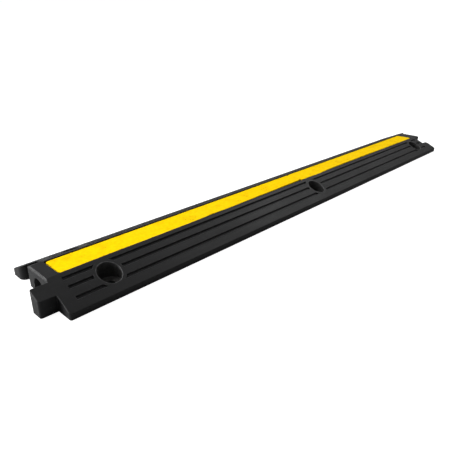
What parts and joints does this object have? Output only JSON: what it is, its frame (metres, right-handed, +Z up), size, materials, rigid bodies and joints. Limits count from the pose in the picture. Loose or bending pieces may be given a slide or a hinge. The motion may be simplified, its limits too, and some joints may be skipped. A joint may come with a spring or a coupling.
{
  "type": "cable protector ramp",
  "caption": "Long low rubber ramp with an arched cable channel underneath, a yellow marking strip on its crown, bolt recesses and interlocking ends.",
  "frame": {"origin": "on the ground, midway along and across the ramp", "axes": "+X along the ramp and its cable channel, +Y across it, +Z up"},
  "size_m": [1.022, 0.136, 0.03],
  "materials": {
    "black_rubber": "moulded, semi-matt, with fine grain and light scuffs",
    "yellow_strip": "moulded yellow compound, faintly mottled, satin"
  },
  "bodies": {
    "root": {"ramp_body": "black_rubber", "marking_strip_left": "yellow_strip", "marking_strip_right": "yellow_strip"}
  },
  "joints": []
}
